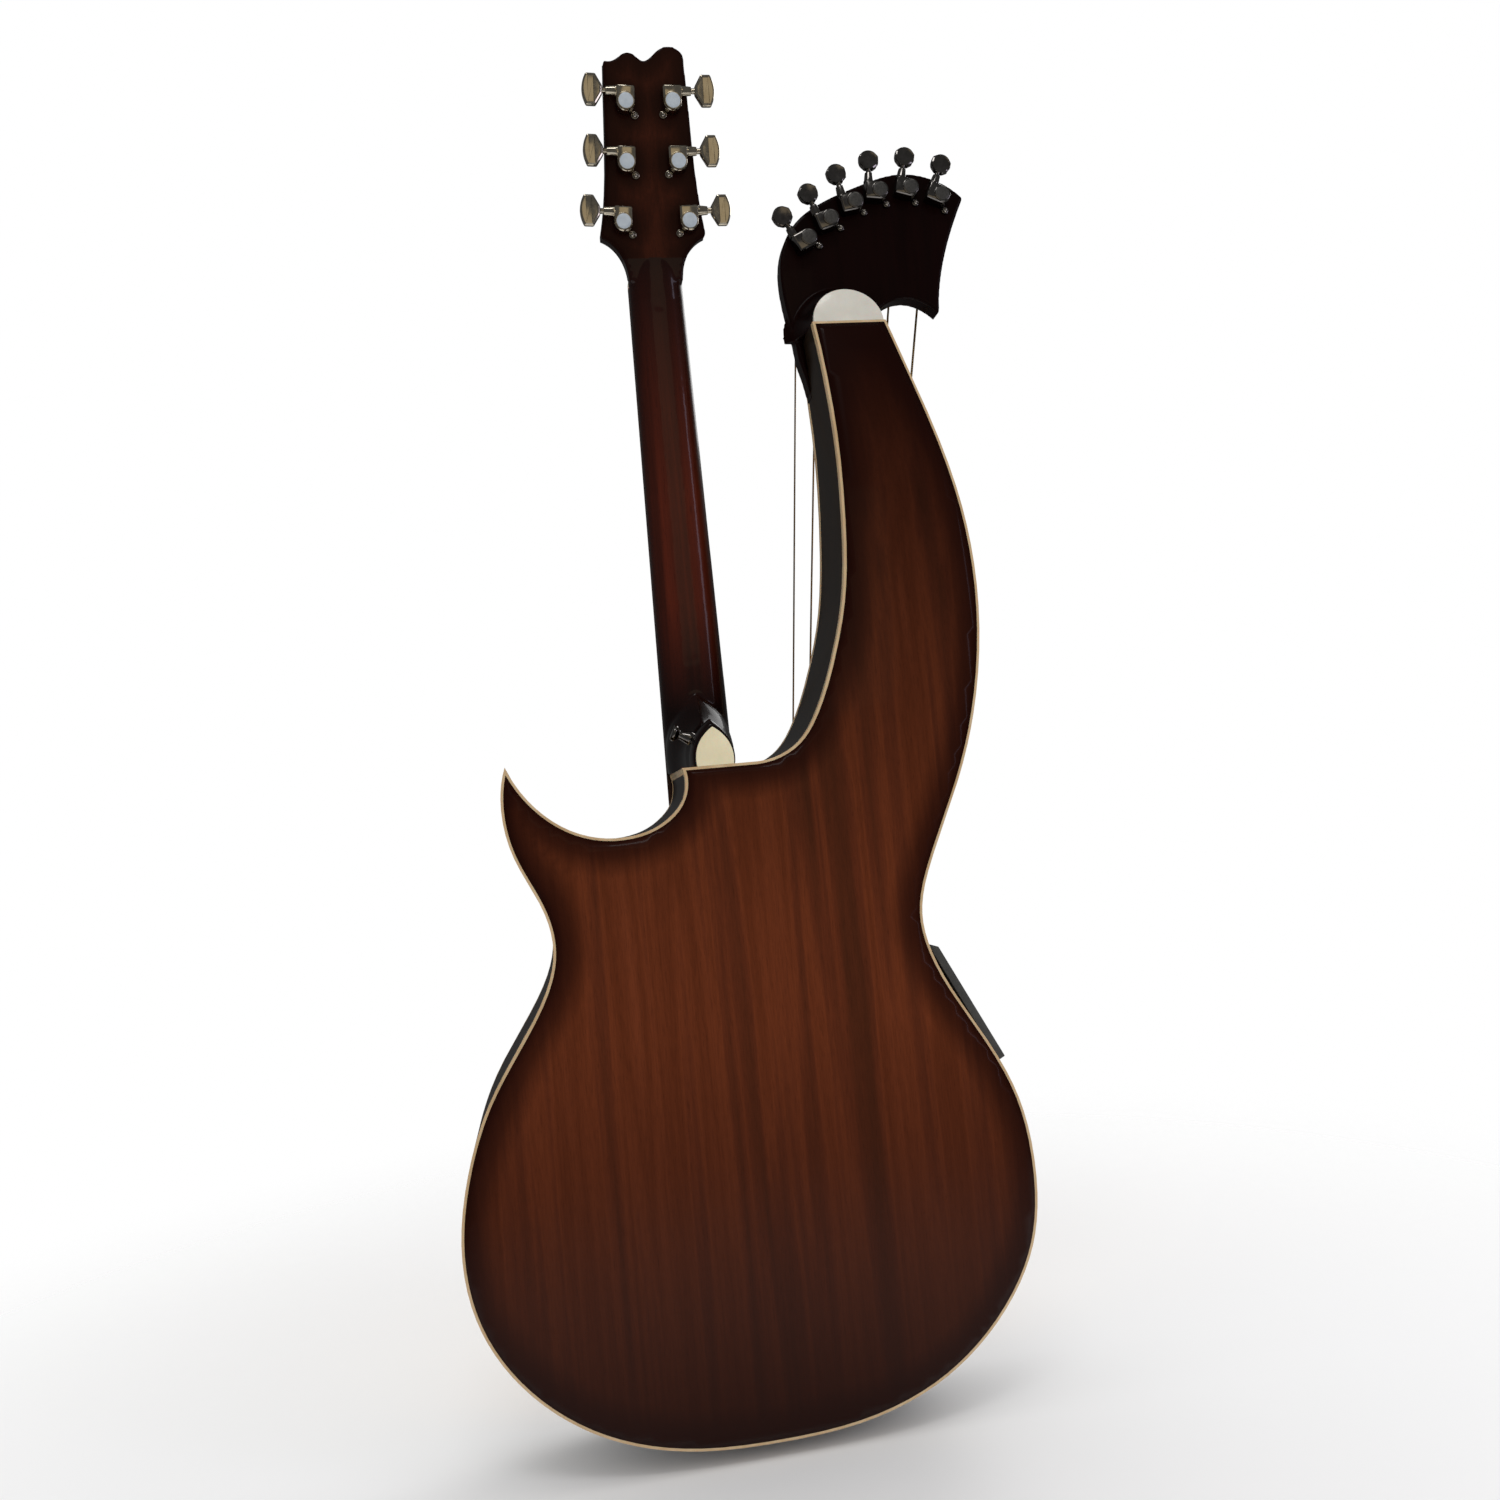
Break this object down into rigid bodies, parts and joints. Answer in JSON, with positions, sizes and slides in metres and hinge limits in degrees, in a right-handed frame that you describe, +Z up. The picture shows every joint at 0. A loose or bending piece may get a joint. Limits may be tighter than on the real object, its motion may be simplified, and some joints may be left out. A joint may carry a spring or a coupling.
{
  "type": "harp guitar",
  "caption": "Hollow-bodied harp guitar with a cutaway, a fretted neck and a hollow bass arm whose own head carries open sub-bass strings.",
  "frame": {"origin": "middle of the neck at the nut, on the plane of the soundboard, where a wall hanger's yoke holds the instrument", "axes": "+Z up the neck to the headstock, -Y towards the strings and the front, +Y towards the back, +X towards the treble side and its cutaway horn, -X towards the harp arm"},
  "size_m": [0.4802, 0.1218, 1.0852],
  "materials": {
    "spruce": "gloss lacquered spruce",
    "mahogany": "gloss ribbon mahogany with a dark burst edge",
    "dark_side": "gloss near-black stained side",
    "ivory_binding": "cream binding",
    "ivory_plate": "cream cap plate",
    "lining_wood": "bare lining and brace wood",
    "rosette_inlay": "ringed inlay",
    "neck_wood": "gloss red-brown burst neck",
    "dark_head": "gloss near-black brown",
    "dark_veneer": "gloss dark veneer",
    "rosewood": "oiled rosewood",
    "rod_steel": "plain steel",
    "post_steel": "plated posts",
    "fret_wire": "polished fret wire",
    "string_steel": "plain and wound steel strings",
    "string_bronze": "bronze wound bass strings",
    "nickel": "bright nickel plate",
    "black_chrome": "dark chrome plate",
    "pearl": "pearl dots",
    "bone": "polished bone",
    "black_plastic": "black plastic",
    "grey_plastic": "grey moulded plastic"
  },
  "bodies": {
    "instrument": {"arm_end_cap": "ivory_plate", "back_binding": "ivory_binding", "back_plate": "mahogany", "braces": "lining_wood", "bridge": "rosewood", "bridge_pins": "bone", "corner_strip": "ivory_binding", "fret_markers": "pearl", "fretboard": "rosewood", "frets": "fret_wire", "front_binding": "ivory_binding", "harp_head": "dark_head", "harp_nut": "bone", "harp_strings": "string_bronze", "harp_tuner_housings": "black_chrome", "head_veneer": "dark_veneer", "heel_cap": "ivory_plate", "linings": "lining_wood", "main_strings": "string_steel", "main_tuner_housings": "nickel", "neck": "neck_wood", "neck_block": "lining_wood", "nut": "bone", "output_jack": "nickel", "preamp_panel": "grey_plastic", "rosette": "rosette_inlay", "saddles": "bone", "side_rim": "dark_side", "soundboard": "spruce", "strap_button": "black_chrome", "tail_block": "lining_wood", "truss_rod": "rod_steel", "truss_rod_cover": "black_plastic", "tuner_screws": "nickel"},
    "main_button_1_body": {"main_button_1": "nickel"},
    "main_post_1_body": {"main_post_1": "post_steel"},
    "main_button_2_body": {"main_button_2": "nickel"},
    "main_post_2_body": {"main_post_2": "post_steel"},
    "main_button_3_body": {"main_button_3": "nickel"},
    "main_post_3_body": {"main_post_3": "post_steel"},
    "main_button_4_body": {"main_button_4": "nickel"},
    "main_post_4_body": {"main_post_4": "post_steel"},
    "main_button_5_body": {"main_button_5": "nickel"},
    "main_post_5_body": {"main_post_5": "post_steel"},
    "main_button_6_body": {"main_button_6": "nickel"},
    "main_post_6_body": {"main_post_6": "post_steel"},
    "harp_button_1_body": {"harp_button_1": "black_chrome"},
    "harp_post_1_body": {"harp_post_1": "post_steel"},
    "harp_button_2_body": {"harp_button_2": "black_chrome"},
    "harp_post_2_body": {"harp_post_2": "post_steel"},
    "harp_button_3_body": {"harp_button_3": "black_chrome"},
    "harp_post_3_body": {"harp_post_3": "post_steel"},
    "harp_button_4_body": {"harp_button_4": "black_chrome"},
    "harp_post_4_body": {"harp_post_4": "post_steel"},
    "harp_button_5_body": {"harp_button_5": "black_chrome"},
    "harp_post_5_body": {"harp_post_5": "post_steel"},
    "harp_button_6_body": {"harp_button_6": "black_chrome"},
    "harp_post_6_body": {"harp_post_6": "post_steel"},
    "volume_knob_body": {"volume_knob": "black_plastic"},
    "tone_knob_body": {"tone_knob": "black_plastic"}
  },
  "joints": [
    {"name": "main_button_1_turn", "type": "hinge", "parent": "instrument", "child": "main_button_1_body", "pos_m": [0.02405, 0.03067, 0.0502], "axis": [0.9986, 0.0109, 0.0512], "continuous": true},
    {"name": "main_post_1_wind", "type": "hinge", "parent": "instrument", "child": "main_post_1_body", "pos_m": [0.0245, 0.0234, 0.04296], "axis": [0, -0.9781, 0.2079], "continuous": true},
    {"name": "main_button_2_turn", "type": "hinge", "parent": "instrument", "child": "main_button_2_body", "pos_m": [0.01805, 0.04023, 0.0952], "axis": [0.9986, 0.0109, 0.0512], "continuous": true},
    {"name": "main_post_2_wind", "type": "hinge", "parent": "instrument", "child": "main_post_2_body", "pos_m": [0.0185, 0.03297, 0.08796], "axis": [0, -0.9781, 0.2079], "continuous": true},
    {"name": "main_button_3_turn", "type": "hinge", "parent": "instrument", "child": "main_button_3_body", "pos_m": [0.01555, 0.0498, 0.14019], "axis": [0.9986, 0.0109, 0.0512], "continuous": true},
    {"name": "main_post_3_wind", "type": "hinge", "parent": "instrument", "child": "main_post_3_body", "pos_m": [0.016, 0.04253, 0.13295], "axis": [0, -0.9781, 0.2079], "continuous": true},
    {"name": "main_button_4_turn", "type": "hinge", "parent": "instrument", "child": "main_button_4_body", "pos_m": [-0.0295, 0.03067, 0.05021], "axis": [-1, 0, 0], "continuous": true},
    {"name": "main_post_4_wind", "type": "hinge", "parent": "instrument", "child": "main_post_4_body", "pos_m": [-0.0295, 0.0234, 0.04296], "axis": [0, -0.9781, 0.2079], "continuous": true},
    {"name": "main_button_5_turn", "type": "hinge", "parent": "instrument", "child": "main_button_5_body", "pos_m": [-0.0235, 0.04023, 0.09521], "axis": [-1, 0, 0], "continuous": true},
    {"name": "main_post_5_wind", "type": "hinge", "parent": "instrument", "child": "main_post_5_body", "pos_m": [-0.0235, 0.03297, 0.08796], "axis": [0, -0.9781, 0.2079], "continuous": true},
    {"name": "main_button_6_turn", "type": "hinge", "parent": "instrument", "child": "main_button_6_body", "pos_m": [-0.022, 0.0498, 0.1402], "axis": [-1, 0, 0], "continuous": true},
    {"name": "main_post_6_wind", "type": "hinge", "parent": "instrument", "child": "main_post_6_body", "pos_m": [-0.022, 0.04253, 0.13295], "axis": [0, -0.9781, 0.2079], "continuous": true},
    {"name": "harp_button_1_turn", "type": "hinge", "parent": "instrument", "child": "harp_button_1_body", "pos_m": [-0.12084, 0.0246, 0.0231], "axis": [0.454, 0, 0.891], "continuous": true},
    {"name": "harp_post_1_wind", "type": "hinge", "parent": "instrument", "child": "harp_post_1_body", "pos_m": [-0.1285, 0.019, 0.027], "axis": [0, -1, 0], "continuous": true},
    {"name": "harp_button_2_turn", "type": "hinge", "parent": "instrument", "child": "harp_button_2_body", "pos_m": [-0.14082, 0.0246, 0.04084], "axis": [0.309, 0, 0.9511], "continuous": true},
    {"name": "harp_post_2_wind", "type": "hinge", "parent": "instrument", "child": "harp_post_2_body", "pos_m": [-0.149, 0.019, 0.0435], "axis": [0, -1, 0], "continuous": true},
    {"name": "harp_button_3_turn", "type": "hinge", "parent": "instrument", "child": "harp_button_3_body", "pos_m": [-0.16303, 0.0246, 0.05651], "axis": [0.1736, 0, 0.9848], "continuous": true},
    {"name": "harp_post_3_wind", "type": "hinge", "parent": "instrument", "child": "harp_post_3_body", "pos_m": [-0.1715, 0.019, 0.058], "axis": [0, -1, 0], "continuous": true},
    {"name": "harp_button_4_turn", "type": "hinge", "parent": "instrument", "child": "harp_button_4_body", "pos_m": [-0.18543, 0.0246, 0.06775], "axis": [-0.0872, 0, 0.9962], "continuous": true},
    {"name": "harp_post_4_wind", "type": "hinge", "parent": "instrument", "child": "harp_post_4_body", "pos_m": [-0.194, 0.019, 0.067], "axis": [0, -1, 0], "continuous": true},
    {"name": "harp_button_5_turn", "type": "hinge", "parent": "instrument", "child": "harp_button_5_body", "pos_m": [-0.21269, 0.0246, 0.07123], "axis": [-0.2588, 0, 0.9659], "continuous": true},
    {"name": "harp_post_5_wind", "type": "hinge", "parent": "instrument", "child": "harp_post_5_body", "pos_m": [-0.221, 0.019, 0.069], "axis": [0, -1, 0], "continuous": true},
    {"name": "harp_button_6_turn", "type": "hinge", "parent": "instrument", "child": "harp_button_6_body", "pos_m": [-0.24014, 0.0246, 0.066], "axis": [-0.4067, 0, 0.9135], "continuous": true},
    {"name": "harp_post_6_wind", "type": "hinge", "parent": "instrument", "child": "harp_post_6_body", "pos_m": [-0.248, 0.019, 0.0625], "axis": [0, -1, 0], "continuous": true},
    {"name": "volume_knob_turn", "type": "hinge", "parent": "instrument", "child": "volume_knob_body", "pos_m": [-0.16803, 0.07, -0.58836], "axis": [-0.8965, 0, 0.4431], "range_deg": [-140, 140]},
    {"name": "tone_knob_turn", "type": "hinge", "parent": "instrument", "child": "tone_knob_body", "pos_m": [-0.18397, 0.07, -0.62064], "axis": [-0.8965, 0, 0.4431], "range_deg": [-140, 140]}
  ],
  "couplings": [
    {"joint": "main_post_1_wind", "follows": "main_button_1_turn", "ratio": 0.071429},
    {"joint": "main_post_2_wind", "follows": "main_button_2_turn", "ratio": 0.071429},
    {"joint": "main_post_3_wind", "follows": "main_button_3_turn", "ratio": 0.071429},
    {"joint": "main_post_4_wind", "follows": "main_button_4_turn", "ratio": -0.071429},
    {"joint": "main_post_5_wind", "follows": "main_button_5_turn", "ratio": -0.071429},
    {"joint": "main_post_6_wind", "follows": "main_button_6_turn", "ratio": -0.071429},
    {"joint": "harp_post_1_wind", "follows": "harp_button_1_turn", "ratio": -0.071429},
    {"joint": "harp_post_2_wind", "follows": "harp_button_2_turn", "ratio": -0.071429},
    {"joint": "harp_post_3_wind", "follows": "harp_button_3_turn", "ratio": -0.071429},
    {"joint": "harp_post_4_wind", "follows": "harp_button_4_turn", "ratio": -0.071429},
    {"joint": "harp_post_5_wind", "follows": "harp_button_5_turn", "ratio": -0.071429},
    {"joint": "harp_post_6_wind", "follows": "harp_button_6_turn", "ratio": -0.071429}
  ]
}
